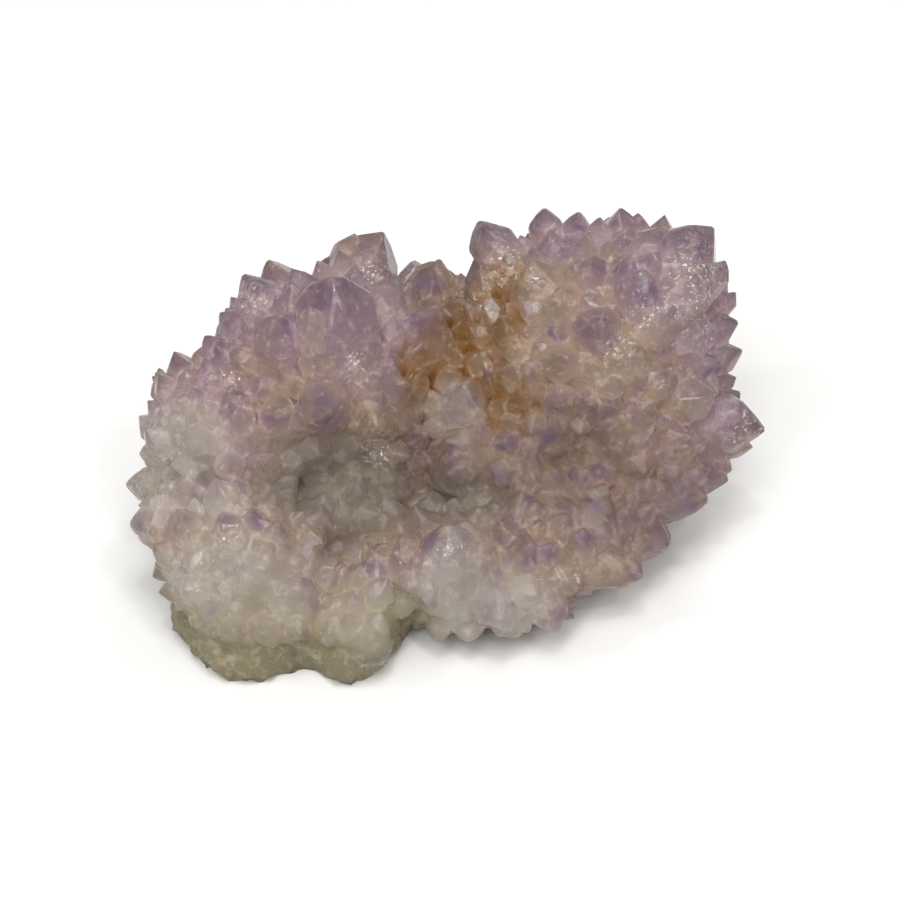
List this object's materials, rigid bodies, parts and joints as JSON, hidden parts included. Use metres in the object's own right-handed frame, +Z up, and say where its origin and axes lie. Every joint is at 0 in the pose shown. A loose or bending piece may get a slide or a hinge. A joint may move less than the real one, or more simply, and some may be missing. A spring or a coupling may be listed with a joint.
{
  "type": "spirit quartz cluster",
  "caption": "Lobed milky quartz body crusted all over with short pointed lavender quartz crystals, broken off flat beneath to stand on a table.",
  "frame": {"origin": "on the flat broken foot that the cluster rests on, under its middle", "axes": "+Z up from the foot, +X along the longest side towards the lobe with the spear point, -Y towards the rim and bare foot at the front"},
  "size_m": [0.0901, 0.0624, 0.0458],
  "materials": {
    "quartz": "milky translucent quartz with glassy crystal faces"
  },
  "bodies": {
    "root": {"quartz_cluster": "quartz"}
  },
  "joints": []
}
